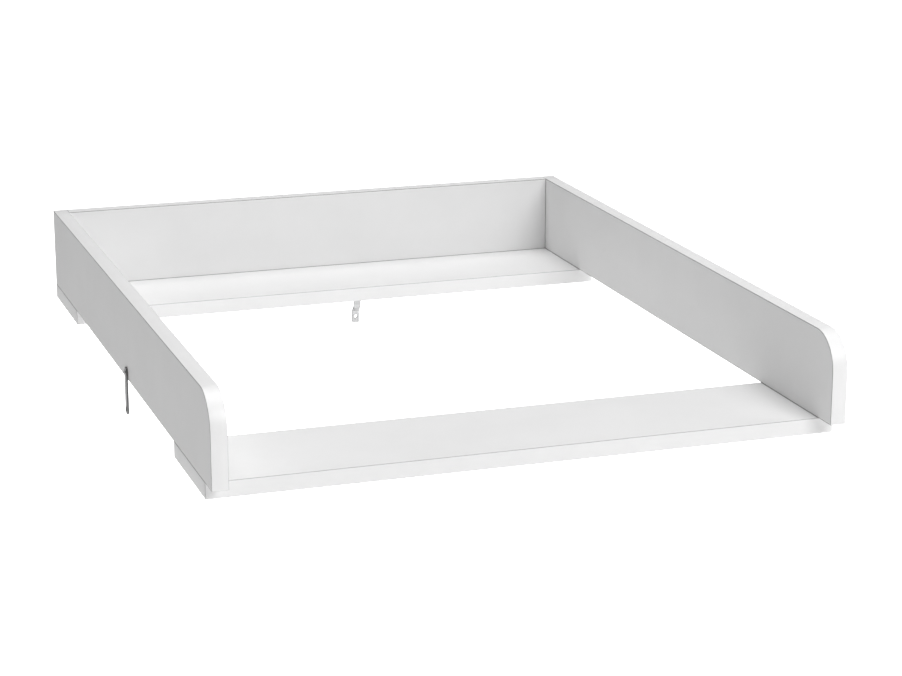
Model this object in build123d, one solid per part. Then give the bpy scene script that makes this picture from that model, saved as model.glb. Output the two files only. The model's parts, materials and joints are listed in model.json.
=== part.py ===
from build123d import *
import math
import os

# Frame for a changing mat, made of laminated boards, that rests on top of a chest of drawers.
# Axes: +X to the right, +Y to the back, +Z up. The origin is the middle of the front rail's underside.
# All sizes are in millimetres.

# Overall sizes
OVERALL_WIDTH = 630.0  # across the outer faces of the two side panels
OVERALL_DEPTH = 796.0  # from the front edge of the side panels to the rear faces
WALL_HEIGHT = 89.0  # side panels and back panel, above the rails
BOARD = 16.0  # thickness of every board
BAND = 0.8  # thickness of every edge band
CORNER_RADIUS = 36.5  # rounded upper front corner of the side panels

# Rails, the two boards that lie flat under the side panels
FRONT_RAIL_WIDTH = 130.0
REAR_RAIL_WIDTH = 134.0
FRONT_SETBACK = 26.0  # front rail behind the side panels' front edge

# Board screws, driven up through the rails
SCREW_LENGTH = 50.0
SCREW_HEAD_RADIUS = 4.8
SCREW_HEAD_RIM = 1.0
SCREW_HEAD_CONE = 3.0
SCREW_RADIUS = 3.5  # over the thread
SCREW_SHANK_RADIUS = 3.4
SCREW_CORE_RADIUS = 2.5
SCREW_PLAIN = 14.0  # from the head to the first turn of the thread
SCREW_PITCH = 3.0
SCREW_TIP = 4.0
SCREW_SOCKET = 4.0  # across the flats
SCREW_SOCKET_DEPTH = 2.8
SCREW_RECESS = 0.5  # head below the rail's underside
SCREW_EDGE_DISTANCE = 32.0  # from a rail's long edges
BACK_SCREW_END_DISTANCE = 99.0  # outer back screws, from the side panels' inner faces

# Ridges of every thread
RIDGE_SHARES = (0.2, 0.5, 0.6, 0.9)  # of one turn: the ridge's foot, its crest's two edges and its other foot

# Dowels
DOWEL_RADIUS = 4.0
DOWEL_LENGTH = 30.0
DOWEL_CHAMFER = 1.0
DOWEL_SHORT_DEPTH = 11.0  # in a rail, or in a side panel's inner face
DOWEL_END_ROOM = 1.0

# Cam fittings between the back panel and the side panels
CAM_RADIUS = 7.5
CAM_BEYOND_AXIS = 4.5  # depth of the cam past the bolt's axis
CAM_DISTANCE = 24.0  # from the back panel's end to the cam's centre
CAM_EDGE_DISTANCE = 22.0  # from the back panel's upper and lower edges
CAM_RECESS = 0.2
CAM_CROSS_LENGTH = 9.0
CAM_CROSS_WIDTH = 1.8
CAM_CROSS_DEPTH = 2.5
BOLT_RADIUS = 3.5
BOLT_NECK_RADIUS = 2.0
BOLT_HEAD_RADIUS = 3.2
BOLT_HEAD_LENGTH = 3.0
BOLT_NECK_LENGTH = 6.5
BOLT_THREAD_RADIUS = 3.0
BOLT_THREAD_CORE = 2.3
BOLT_THREAD_LENGTH = 11.0
BOLT_THREAD_PITCH = 2.0

# Steel straps that fasten the frame to the chest's side and to the wall
STRAP_THICKNESS = 2.0
STRAP_END_DISTANCE = 6.0  # from a hole's centre to the strap's end
STRAP_SCREW_HEIGHT = 7.0  # upper screws, above the lower edge of the panels
SIDE_STRAP_WIDTH = 10.0
SIDE_STRAP_DEPTH = 376.0  # behind the side panels' front edge
SIDE_STRAP_SPACING = 39.0  # between its two holes
SIDE_STRAP_HOLE_RADIUS = 2.1
SIDE_STRAP_SINK_RADIUS = 3.1
SIDE_STRAP_SINK_DEPTH = 0.8
END_FLAT = 0.02  # short straight part of its round ends
WALL_STRAP_WIDTH = 9.0
WALL_STRAP_OFFSET = 57.0  # right of the middle
WALL_STRAP_SPACING = 81.0  # between its two holes
WALL_STRAP_STEP = 8.0  # its lower end stands this much further back
WALL_STRAP_FOOT = 15.0  # straight lower end
WALL_STRAP_HOLE_RADIUS = 2.1
WALL_STRAP_LOWER_END = 8.0  # from the lower hole's centre to the strap's end
WALL_STRAP_BEND_RADIUS = 3.0  # at the middle of its thickness
WALL_STRAP_CORNER = 1.5

# Small screws of the straps
PAN_HEAD_RADIUS = 3.1
PAN_HEAD_HEIGHT = 1.3
PAN_HEAD_SHAPE = ((1.0, 0.45), (0.8, 0.78), (0.4, 1.0))  # shares of its height and its radius
PAN_SCREW_RADIUS = 2.0  # plain part of the shank
PAN_THREAD_RADIUS = 1.75
PAN_SCREW_CORE = 1.4
PAN_SCREW_PITCH = 1.6
PAN_SCREW_TIP = 2.5
PAN_CROSS_LENGTH = 3.6
PAN_CROSS_WIDTH = 0.9
PAN_CROSS_DEPTH = 1.0
STRAP_SCREW_BITE = 11.0  # how far a strap's upper screw goes into the panel
STRAP_SCREW_PLAIN = 2.0  # of that, without thread

# Clearances
HOLE_CLEARANCE = 0.05  # round a fastener that sits tight
BOLT_CLEARANCE = 0.3  # round a cam's bolt
SWIVEL_CLEARANCE = 0.07  # round the screw that a strap turns on
STRAP_GAP = 0.1  # between a strap, its panel and its screw's head

# Planes that the pieces share
HALF_WIDTH = OVERALL_WIDTH / 2
INNER_HALF = HALF_WIDTH - BOARD
SIDE_MIDDLE = HALF_WIDTH - BOARD / 2
RAIL_FRONT = -FRONT_RAIL_WIDTH / 2
RAIL_REAR = FRONT_RAIL_WIDTH / 2
PANEL_FRONT = RAIL_FRONT - FRONT_SETBACK
PANEL_REAR = PANEL_FRONT + OVERALL_DEPTH
REAR_RAIL_FRONT = PANEL_REAR - REAR_RAIL_WIDTH
BACK_MIDDLE = PANEL_REAR - BOARD / 2
PANEL_TOP = BOARD + WALL_HEIGHT
STRAP_SCREW_Z = BOARD + STRAP_SCREW_HEIGHT

TO_RIGHT = (1, 0, 0)
TO_BACK = (0, 1, 0)
UP = (0, 0, 1)


def block(low, high):
    """A box between two opposite corners."""
    size = [b - a for a, b in zip(low, high)]
    middle = [(a + b) / 2 for a, b in zip(low, high)]
    return Pos(*middle) * Box(*size)


def turned(points, place, direction):
    """A solid of revolution. Its points are (distance along the axis, radius), its axis starts at place."""
    outline = Polyline([(radius, along) for along, radius in points], close=True)
    solid = revolve(Plane.XZ * make_face(outline), Axis.Z, clean=False)
    return Plane(origin=place, z_dir=direction) * solid


def thread(start, end, pitch, core, outer):
    """The outline of a thread's ridges along a shank, as points (distance along the axis, radius)."""
    turns = max(1, math.floor((end - start) / pitch))
    step = (end - start) / turns
    points = [(start, core)]
    ridge = list(zip(RIDGE_SHARES, (core, outer, outer, core)))
    for turn in range(turns):
        foot = start + turn * step
        points += [(foot + share * step, radius) for share, radius in ridge]
    points.append((end, core))
    return points


def cross(length, width, depth, place, direction):
    """The recess for a cross-head driver, sunk from place along direction."""
    bars = Box(length, width, 2 * depth) + Box(width, length, 2 * depth)
    return Plane(origin=place, z_dir=direction) * bars


# ---------------------------------------------------------------- board screws


def screw_outline(shank, clearance, below):
    """The head end of a board screw's outline, or of its hole's, with a clearance and a start below the head.

    The points are (distance along the axis, radius).
    """
    shoulder = SCREW_HEAD_RIM + SCREW_HEAD_CONE
    return [
        (-below, 0),
        (-below, SCREW_HEAD_RADIUS + clearance),
        (SCREW_HEAD_RIM, SCREW_HEAD_RADIUS + clearance),
        (shoulder, shank + clearance),
    ]


def board_screw(x, y):
    """A board screw that stands head down at (x, y), its head just inside the rail."""
    points = screw_outline(SCREW_SHANK_RADIUS, 0, 0)
    points.append((SCREW_PLAIN, SCREW_SHANK_RADIUS))
    points += thread(SCREW_PLAIN, SCREW_LENGTH - SCREW_TIP, SCREW_PITCH, SCREW_CORE_RADIUS, SCREW_RADIUS)
    points.append((SCREW_LENGTH, 0))
    screw = turned(points, (x, y, SCREW_RECESS), UP)
    socket = extrude(RegularPolygon(SCREW_SOCKET / 2, 6, major_radius=False), SCREW_SOCKET_DEPTH)
    return screw - Pos(x, y, SCREW_RECESS) * socket


def board_screw_hole(x, y):
    """The hole of a board screw, through the rail and into the panel above it."""
    points = screw_outline(SCREW_RADIUS, HOLE_CLEARANCE, SCREW_RECESS + 1)
    points.append((SCREW_LENGTH + 1, SCREW_RADIUS + HOLE_CLEARANCE))
    points.append((SCREW_LENGTH + 1, 0))
    return turned(points, (x, y, SCREW_RECESS), UP)


def rail_screw_places(front, rear, sides=(-1, 1)):
    """Where the screws stand that join a rail to the side panels."""
    rows = (front + SCREW_EDGE_DISTANCE, rear - SCREW_EDGE_DISTANCE)
    return [(side * SIDE_MIDDLE, y) for side in sides for y in rows]


def back_screw_places():
    """Where the screws stand that join the rear rail to the back panel."""
    reach = INNER_HALF - BACK_SCREW_END_DISTANCE
    return [(x, BACK_MIDDLE) for x in (-reach, 0, reach)]


# ---------------------------------------------------------------- dowels


def dowel(place, direction):
    """A dowel with broken ends. Place is in the joint's plane, direction points into the dowel's long side."""
    start = -DOWEL_SHORT_DEPTH
    end = start + DOWEL_LENGTH
    points = [
        (start, 0),
        (start, DOWEL_RADIUS - DOWEL_CHAMFER),
        (start + DOWEL_CHAMFER, DOWEL_RADIUS),
        (end - DOWEL_CHAMFER, DOWEL_RADIUS),
        (end, DOWEL_RADIUS - DOWEL_CHAMFER),
        (end, 0),
    ]
    return turned(points, place, direction)


def dowel_hole(place, direction):
    """The hole of a dowel, a little longer than the dowel at both ends."""
    start = -DOWEL_SHORT_DEPTH - DOWEL_END_ROOM
    end = DOWEL_LENGTH - DOWEL_SHORT_DEPTH + DOWEL_END_ROOM
    radius = DOWEL_RADIUS + HOLE_CLEARANCE
    return turned([(start, 0), (start, radius), (end, radius), (end, 0)], place, direction)


def rail_dowel_places(sides=(-1, 1)):
    """The dowels that stand midway between a rail's screws."""
    middles = (0.0, (REAR_RAIL_FRONT + PANEL_REAR) / 2)
    return [((side * SIDE_MIDDLE, y, BOARD), UP) for side in sides for y in middles]


def back_bottom_dowel_places():
    """The dowels between the rear rail and the back panel, midway between its screws."""
    reach = (INNER_HALF - BACK_SCREW_END_DISTANCE) / 2
    return [((x, BACK_MIDDLE, BOARD), UP) for x in (-reach, reach)]


def back_end_dowel_places(sides=(-1, 1)):
    """The dowels in the back panel's ends, at half its height. They point towards the middle."""
    height = BOARD + WALL_HEIGHT / 2
    return [((side * INNER_HALF, BACK_MIDDLE, height), (-side, 0, 0)) for side in sides]


# ---------------------------------------------------------------- cam fittings


def cam_places(sides=(-1, 1)):
    """The bolts' starts in the planes of the joints, as (side, height)."""
    heights = (BOARD + CAM_EDGE_DISTANCE, PANEL_TOP - CAM_EDGE_DISTANCE)
    return [(side, z) for side in sides for z in heights]


def cam_bolt(side, z):
    """A bolt screwed into a side panel, with its head inside the cam."""
    head_end = CAM_DISTANCE + BOLT_HEAD_LENGTH / 2
    head_start = head_end - BOLT_HEAD_LENGTH
    neck_start = head_start - BOLT_NECK_LENGTH
    points = [(-BOLT_THREAD_LENGTH, 0)]
    points += thread(-BOLT_THREAD_LENGTH, 0, BOLT_THREAD_PITCH, BOLT_THREAD_CORE, BOLT_THREAD_RADIUS)
    points += [
        (0, BOLT_RADIUS),
        (neck_start, BOLT_RADIUS),
        (neck_start, BOLT_NECK_RADIUS),
        (head_start, BOLT_NECK_RADIUS),
        (head_start, BOLT_HEAD_RADIUS),
        (head_end, BOLT_HEAD_RADIUS),
        (head_end, 0),
    ]
    return turned(points, (side * INNER_HALF, BACK_MIDDLE, z), (-side, 0, 0))


def cam_bolt_hole(side, z):
    """The bolt's holes: a pilot in the side panel and a wider one from the back panel's end to the cam."""
    pilot = BOLT_THREAD_RADIUS + HOLE_CLEARANCE
    wide = BOLT_RADIUS + BOLT_CLEARANCE
    depth = BOLT_THREAD_LENGTH + 1
    points = [(-depth, 0), (-depth, pilot), (0, pilot), (0, wide), (CAM_DISTANCE, wide), (CAM_DISTANCE, 0)]
    return turned(points, (side * INNER_HALF, BACK_MIDDLE, z), (-side, 0, 0))


def cam_bore(side, z, clearance, recess):
    """The round space of a cam in the back panel's rear face, or the cam's own body with no clearance."""
    depth = BOARD / 2 + CAM_BEYOND_AXIS + clearance
    radius = CAM_RADIUS + clearance
    points = [(recess, 0), (recess, radius), (depth, radius), (depth, 0)]
    return turned(points, (side * (INNER_HALF - CAM_DISTANCE), PANEL_REAR, z), (0, -1, 0))


def cam_lock(side, z):
    """A cam: a round body with a pocket for the bolt's head and a cross recess in its face."""
    body = cam_bore(side, z, 0, CAM_RECESS)
    pocket_radius = BOLT_HEAD_RADIUS + 2 * BOLT_CLEARANCE
    pocket_end = CAM_DISTANCE + BOLT_HEAD_LENGTH / 2 + BOLT_CLEARANCE
    pocket = turned(
        [(0, 0), (0, pocket_radius), (pocket_end, pocket_radius), (pocket_end, 0)],
        (side * INNER_HALF, BACK_MIDDLE, z),
        (-side, 0, 0),
    )
    face = (side * (INNER_HALF - CAM_DISTANCE), PANEL_REAR - CAM_RECESS, z)
    return body - pocket - cross(CAM_CROSS_LENGTH, CAM_CROSS_WIDTH, CAM_CROSS_DEPTH, face, TO_BACK)


# ---------------------------------------------------------------- side panels


def side_profile(front, top, rear, bottom):
    """A side panel's outline in the YZ plane, moved in by the given amounts at its four edges."""
    radius = CORNER_RADIUS - front
    low_front = (PANEL_FRONT + front, BOARD + bottom)
    low_rear = (PANEL_REAR - rear, BOARD + bottom)
    high_rear = (PANEL_REAR - rear, PANEL_TOP - top)
    arc_top = (PANEL_FRONT + front + radius, PANEL_TOP - top)
    arc_front = (PANEL_FRONT + front, PANEL_TOP - top - radius)
    edges = Line(low_front, low_rear) + Line(low_rear, high_rear) + Line(high_rear, arc_top)
    middle = (arc_top[0] - radius * math.sqrt(0.5), arc_front[1] + radius * math.sqrt(0.5))
    edges += ThreePointArc(arc_top, middle, arc_front) + Line(arc_front, low_front)
    return Plane.YZ * make_face(edges)


def board_from(profile, side):
    """A side panel's profile, as thick as the board, at the right place across the width."""
    slab = extrude(profile, BOARD, dir=TO_RIGHT)
    return Pos(INNER_HALF if side > 0 else -HALF_WIDTH, 0, 0) * slab


def side_panel(side):
    """The board of a side panel, with the holes of everything that goes into it."""
    panel = board_from(side_profile(BAND, BAND, BAND, BAND), side)
    return panel - side_panel_holes(side)


def side_panel_holes(side):
    """All the holes in a side panel and in the band under it."""
    holes = [board_screw_hole(x, y) for x, y in rail_screw_places(RAIL_FRONT, RAIL_REAR, (side,))]
    holes += [board_screw_hole(x, y) for x, y in rail_screw_places(REAR_RAIL_FRONT, PANEL_REAR, (side,))]
    holes += [dowel_hole(*place) for place in rail_dowel_places((side,))]
    holes += [dowel_hole(*place) for place in back_end_dowel_places((side,))]
    holes += [cam_bolt_hole(*place) for place in cam_places((side,))]
    if side < 0:
        holes.append(strap_screw_hole(side_strap_pivot(), TO_RIGHT))
    return holes


def side_bands(side):
    """The three edge bands of a side panel. The first goes up the front, round the corner and along the top."""
    wrap = board_from(side_profile(0, 0, 0, 0) - side_profile(BAND, BAND, 0, 0), side)
    x_low = INNER_HALF if side > 0 else -HALF_WIDTH
    x_high = x_low + BOARD
    rear = block((x_low, PANEL_REAR - BAND, BOARD), (x_high, PANEL_REAR, PANEL_TOP - BAND))
    bottom = block((x_low, PANEL_FRONT + BAND, BOARD), (x_high, PANEL_REAR - BAND, BOARD + BAND))
    return wrap, rear, bottom - side_panel_holes(side)


# ---------------------------------------------------------------- back panel


def back_panel_holes():
    """All the holes in the back panel."""
    holes = [board_screw_hole(x, y) for x, y in back_screw_places()]
    holes += [dowel_hole(*place) for place in back_bottom_dowel_places() + back_end_dowel_places()]
    for place in cam_places():
        holes.append(cam_bolt_hole(*place))
        holes.append(cam_bore(*place, HOLE_CLEARANCE, -1))
    holes.append(strap_screw_hole(wall_strap_pivot(), (0, -1, 0)))
    return holes


def back_panel():
    """The back panel, which stands on the rear rail between the side panels."""
    low = (-INNER_HALF, PANEL_REAR - BOARD, BOARD)
    return block(low, (INNER_HALF, PANEL_REAR, PANEL_TOP - BAND)) - back_panel_holes()


def back_top_band():
    """The edge band on the back panel's upper edge."""
    low = (-INNER_HALF, PANEL_REAR - BOARD, PANEL_TOP - BAND)
    return block(low, (INNER_HALF, PANEL_REAR, PANEL_TOP))


# ---------------------------------------------------------------- rails


def rail(front, rear, holes):
    """A rail's board, between its four edge bands."""
    low = (-HALF_WIDTH + BAND, front + BAND, 0)
    return block(low, (HALF_WIDTH - BAND, rear - BAND, BOARD)) - holes


def rail_holes(front, rear):
    """The holes that join a rail to the side panels."""
    holes = [board_screw_hole(x, y) for x, y in rail_screw_places(front, rear)]
    holes += [dowel_hole(*place) for place in rail_dowel_places()]
    return holes


def rail_bands(front, rear):
    """A rail's edge bands: front, rear, left and right. The long ones cover the short ones' ends."""
    long_bands = [
        block((-HALF_WIDTH, y, 0), (HALF_WIDTH, y + BAND, BOARD)) for y in (front, rear - BAND)
    ]
    short_bands = [
        block((x, front + BAND, 0), (x + BAND, rear - BAND, BOARD)) for x in (-HALF_WIDTH, HALF_WIDTH - BAND)
    ]
    return long_bands + short_bands


# ---------------------------------------------------------------- straps and their screws


def side_strap_pivot():
    """Where the side strap's upper screw meets the left side panel's outer face."""
    return (-HALF_WIDTH, PANEL_FRONT + SIDE_STRAP_DEPTH, STRAP_SCREW_Z)


def wall_strap_pivot():
    """Where the wall strap's upper screw meets the back panel's rear face."""
    return (WALL_STRAP_OFFSET, PANEL_REAR, STRAP_SCREW_Z)


def round_hole(radius, start, end, place, direction):
    """A plain round hole along direction, between two distances from place."""
    return turned([(start, 0), (start, radius), (end, radius), (end, 0)], place, direction)


def strap_screw_hole(place, direction):
    """The pilot hole of a strap's upper screw. Direction points into the panel."""
    radius = PAN_SCREW_RADIUS + HOLE_CLEARANCE
    return round_hole(radius, -1, STRAP_SCREW_BITE + 1, place, direction)


def pan_screw(place, direction, plain, length):
    """A small screw with a rounded head. Place is under its head, direction points to its tip."""
    points = [
        (-PAN_HEAD_HEIGHT, 0),
        *((-up * PAN_HEAD_HEIGHT, out * PAN_HEAD_RADIUS) for up, out in PAN_HEAD_SHAPE),
        (0, PAN_HEAD_RADIUS),
        (0, PAN_SCREW_RADIUS),
        (plain, PAN_SCREW_RADIUS),
    ]
    points += thread(plain, length - PAN_SCREW_TIP, PAN_SCREW_PITCH, PAN_SCREW_CORE, PAN_THREAD_RADIUS)
    points.append((length, 0))
    towards_head = tuple(-part for part in direction)
    face = tuple(a + PAN_HEAD_HEIGHT * b for a, b in zip(place, towards_head))
    recess = cross(PAN_CROSS_LENGTH, PAN_CROSS_WIDTH, PAN_CROSS_DEPTH, face, towards_head)
    return turned(points, place, direction) - recess


def strap_screw(pivot, direction):
    """The screw that holds a strap to its panel and that the strap turns on."""
    stack = STRAP_THICKNESS + 2 * STRAP_GAP
    place = tuple(a - stack * b for a, b in zip(pivot, direction))
    return pan_screw(place, direction, stack + STRAP_SCREW_PLAIN, stack + STRAP_SCREW_BITE)


def side_strap():
    """A flat strap with round ends that hangs from its screw, down past the rails."""
    x, y, z = side_strap_pivot()
    outer = x - STRAP_GAP - STRAP_THICKNESS
    length = SIDE_STRAP_SPACING + 2 * STRAP_END_DISTANCE
    outline = RectangleRounded(SIDE_STRAP_WIDTH, length, SIDE_STRAP_WIDTH / 2 - END_FLAT / 2)
    middle = z - SIDE_STRAP_SPACING / 2
    flat = Pos(outer, y, middle) * extrude(Plane.YZ * outline, STRAP_THICKNESS, dir=TO_RIGHT)
    swivel = round_hole(PAN_SCREW_RADIUS + SWIVEL_CLEARANCE, -1, STRAP_THICKNESS + 1, (outer, y, z), TO_RIGHT)
    sink = [
        (-1, 0),
        (-1, SIDE_STRAP_SINK_RADIUS),
        (0, SIDE_STRAP_SINK_RADIUS),
        (SIDE_STRAP_SINK_DEPTH, SIDE_STRAP_HOLE_RADIUS),
        (STRAP_THICKNESS + 1, SIDE_STRAP_HOLE_RADIUS),
        (STRAP_THICKNESS + 1, 0),
    ]
    return flat - swivel - turned(sink, (outer, y, z - SIDE_STRAP_SPACING), TO_RIGHT)


def wall_strap_foot():
    """The point on the lower hole's axis in the middle of the wall strap's thickness."""
    x, y, z = wall_strap_pivot()
    return (x, y + STRAP_GAP + STRAP_THICKNESS / 2 + WALL_STRAP_STEP, z - WALL_STRAP_SPACING)


def wall_strap():
    """A strap that hangs behind the back panel and steps back to the wall at its lower end."""
    x, y, z = wall_strap_pivot()
    foot_y = wall_strap_foot()[1]
    low = z - WALL_STRAP_SPACING - WALL_STRAP_LOWER_END
    high = z + STRAP_END_DISTANCE
    bend = low + WALL_STRAP_FOOT
    upper_y = foot_y - WALL_STRAP_STEP
    route = [
        (x, upper_y, high),
        (x, upper_y, bend + WALL_STRAP_STEP),
        (x, foot_y, bend),
        (x, foot_y, low),
    ]
    path = FilletPolyline(*route, radius=WALL_STRAP_BEND_RADIUS)
    start = Plane(origin=route[0], x_dir=TO_RIGHT, z_dir=(0, 0, -1))
    section = start * Rectangle(WALL_STRAP_WIDTH, STRAP_THICKNESS)
    strip = sweep(section, path=path)
    outline = RectangleRounded(WALL_STRAP_WIDTH, high - low, WALL_STRAP_CORNER)
    reach = WALL_STRAP_STEP + 4 * STRAP_THICKNESS
    corners = Pos(x, y - STRAP_THICKNESS, (low + high) / 2) * extrude(Plane.XZ * outline, reach, dir=TO_BACK)
    swivel = round_hole(PAN_SCREW_RADIUS + SWIVEL_CLEARANCE, -1, STRAP_THICKNESS + 1, (x, y, z), TO_BACK)
    through = STRAP_THICKNESS / 2 + 1
    lower = round_hole(WALL_STRAP_HOLE_RADIUS, -through, through, wall_strap_foot(), TO_BACK)
    return (strip & corners) - swivel - lower


# ---------------------------------------------------------------- the whole frame


def nodes():
    """Every piece of the frame, by name. A list is a group of separate solids."""
    parts = {}
    for name, side in (("left", -1), ("right", 1)):
        parts[f"side_panel_{name}"] = side_panel(side)
        wrap, rear, bottom = side_bands(side)
        parts[f"side_front_top_band_{name}"] = wrap
        parts[f"side_rear_band_{name}"] = rear
        parts[f"side_bottom_band_{name}"] = bottom
    parts["back_panel"] = back_panel()
    parts["back_top_band"] = back_top_band()

    back_holes = [board_screw_hole(x, y) for x, y in back_screw_places()]
    back_holes += [dowel_hole(*place) for place in back_bottom_dowel_places()]
    parts["front_rail"] = rail(RAIL_FRONT, RAIL_REAR, rail_holes(RAIL_FRONT, RAIL_REAR))
    rear_holes = rail_holes(REAR_RAIL_FRONT, PANEL_REAR) + back_holes
    parts["rear_rail"] = rail(REAR_RAIL_FRONT, PANEL_REAR, rear_holes)
    rails = (("front_rail", RAIL_FRONT, RAIL_REAR), ("rear_rail", REAR_RAIL_FRONT, PANEL_REAR))
    for name, front, rear in rails:
        for edge, band in zip(("front", "rear", "left", "right"), rail_bands(front, rear)):
            parts[f"{name}_{edge}_band"] = band

    parts["front_rail_screws"] = [board_screw(x, y) for x, y in rail_screw_places(RAIL_FRONT, RAIL_REAR)]
    parts["rear_rail_screws"] = [board_screw(x, y) for x, y in rail_screw_places(REAR_RAIL_FRONT, PANEL_REAR)]
    parts["back_panel_screws"] = [board_screw(x, y) for x, y in back_screw_places()]
    parts["rail_dowels"] = [dowel(*place) for place in rail_dowel_places()]
    parts["back_bottom_dowels"] = [dowel(*place) for place in back_bottom_dowel_places()]
    parts["back_end_dowels"] = [dowel(*place) for place in back_end_dowel_places()]
    parts["cam_bolts"] = [cam_bolt(*place) for place in cam_places()]
    parts["cam_locks"] = [cam_lock(*place) for place in cam_places()]

    parts["side_strap"] = side_strap()
    parts["side_strap_screw"] = strap_screw(side_strap_pivot(), TO_RIGHT)
    parts["wall_strap"] = wall_strap()
    parts["wall_strap_screw"] = strap_screw(wall_strap_pivot(), (0, -1, 0))
    return parts


os.makedirs("parts", exist_ok=True)
for node, shape in nodes().items():
    group = shape if isinstance(shape, list) else [shape]
    solids = [solid for member in group for solid in member.solids()]
    export_step(Compound(children=solids) if len(solids) > 1 else solids[0], f"parts/{node}.step")
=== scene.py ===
import json
import logging
import math
from collections.abc import Callable
from dataclasses import dataclass
from enum import Enum
from functools import cache

import bmesh
import bpy
import numpy as np
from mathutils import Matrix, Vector


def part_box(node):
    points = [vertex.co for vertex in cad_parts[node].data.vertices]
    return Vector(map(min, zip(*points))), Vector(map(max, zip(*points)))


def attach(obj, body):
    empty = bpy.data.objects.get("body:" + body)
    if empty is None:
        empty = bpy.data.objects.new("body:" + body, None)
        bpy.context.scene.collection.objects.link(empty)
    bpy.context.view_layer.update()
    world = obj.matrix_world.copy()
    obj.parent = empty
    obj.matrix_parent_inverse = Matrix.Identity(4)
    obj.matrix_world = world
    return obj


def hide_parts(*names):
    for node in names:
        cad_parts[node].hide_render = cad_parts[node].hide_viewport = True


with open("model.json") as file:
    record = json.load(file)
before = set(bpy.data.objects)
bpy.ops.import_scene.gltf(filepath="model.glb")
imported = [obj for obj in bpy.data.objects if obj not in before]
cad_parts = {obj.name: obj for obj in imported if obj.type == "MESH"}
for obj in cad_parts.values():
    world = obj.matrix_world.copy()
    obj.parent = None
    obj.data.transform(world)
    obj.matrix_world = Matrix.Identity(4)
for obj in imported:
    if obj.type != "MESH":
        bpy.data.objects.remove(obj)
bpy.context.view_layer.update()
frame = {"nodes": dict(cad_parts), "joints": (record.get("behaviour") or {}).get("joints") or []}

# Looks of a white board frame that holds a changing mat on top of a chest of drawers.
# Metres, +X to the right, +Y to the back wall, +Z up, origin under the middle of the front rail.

Array = np.ndarray
Field = np.ndarray | float
Stations = list[tuple[float, Field]]
Triple = tuple[float, float, float]
Tone = tuple[float, float, float, float]
Material = bpy.types.Material
Output = bpy.types.NodeSocket
Outputs = bpy.types.bpy_prop_collection
log = logging.getLogger("changing_frame")

MM = 0.001
QUARTER = math.pi / 2
CORNER_POINTS = 6  # round one rounded corner of a section
END_RINGS = 4  # in the rounding of a band's end
RINGS_IN_A_TURN = 9  # of a thread
WELD = 1e-6  # points closer than this become one
SMOOTH_DEGREES = 32.0  # edges sharper than this stay sharp in the shading
STRAP_THICKNESS = 2.0 * MM
STRAP_HOLE = 2.1 * MM
WHITE_BACKDROP = 1.6  # strength of the floor and the backdrop as the camera sees them


# ---- surfaces


@dataclass
class Shell:
    """A surface as points and faces."""

    points: Array  # one row of x, y, z for each point
    faces: list  # lists of point numbers, three or four for each face
    depth: Array  # distance of each point from the glued side of a band, or zeros
    edge: Array  # one on edges, in recesses and on hole walls, where shade is painted; zero elsewhere

    @staticmethod
    def of(shells: list["Shell"]) -> "Shell":
        """Joins several shells into one."""
        offsets = np.cumsum([0] + [len(shell.points) for shell in shells[:-1]])
        faces = [[i + int(o) for i in face] for shell, o in zip(shells, offsets) for face in shell.faces]
        parts = zip(*((shell.points, shell.depth, shell.edge) for shell in shells))
        points, depth, edge = (np.concatenate(part) for part in parts)
        return Shell(points, faces, depth, edge)

    def placed(self, origin: Array, direction: Array, across: Array | None = None) -> "Shell":
        """Stands a shell that was made along +Z at origin, along direction.

        Args:
            origin: Where the shell's own origin goes.
            direction: Where its +Z goes.
            across: Where its +X goes, or None for any direction across.

        Returns:
            The shell in its new place.
        """
        along = np.asarray(direction, float) / np.linalg.norm(direction)
        if across is None:
            across = np.eye(3)[int(np.argmin(np.abs(along)))]
        x = np.asarray(across, float) - along * np.dot(across, along)
        x = x / np.linalg.norm(x)
        turn = np.stack([x, np.cross(along, x), along])
        return Shell(self.points @ turn + np.asarray(origin, float), self.faces, self.depth, self.edge)


def pairs(first: Field, second: Field) -> Array:
    """Points of a plane from their two coordinates."""
    return np.stack(np.broadcast_arrays(first, second), axis=-1)


def circle(angle: Array) -> Array:
    """Points of the unit circle."""
    return pairs(np.cos(angle), np.sin(angle))


def closed_rings(rings: Array, depth: Field = 0.0, edge: Field = 0.0, caps: bool = True) -> Shell:
    """Skins a stack of rings. Neighbouring rings share quads, and a fan to its middle closes each end ring.

    Args:
        rings: Points with shape (rings, points in a ring, 3).
        depth: Depth values that broadcast to (rings, points in a ring).
        edge: Edge values that broadcast to the same.
        caps: Whether to close the two ends.

    Returns:
        The shell.
    """
    rows, cols = rings.shape[:2]
    number = np.arange(rows * cols).reshape(rows, cols)
    after = np.roll(number, -1, axis=1)
    faces = np.stack([number[:-1], after[:-1], after[1:], number[1:]], axis=-1).reshape(-1, 4).tolist()
    points = rings.reshape(-1, 3)
    values = [np.broadcast_to(value, (rows, cols)).astype(float) for value in (depth, edge)]
    flat = [value.reshape(-1) for value in values]
    if caps:
        first, last = rows * cols, rows * cols + 1
        points = np.vstack([points, rings[0].mean(axis=0), rings[-1].mean(axis=0)])
        flat = [np.concatenate([value.reshape(-1), [value[0].mean(), value[-1].mean()]]) for value in values]
        faces += np.stack([np.full(cols, first), after[0], number[0]], axis=-1).tolist()
        faces += np.stack([np.full(cols, last), number[-1], after[-1]], axis=-1).tolist()
    return Shell(points, faces, *flat)


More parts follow.
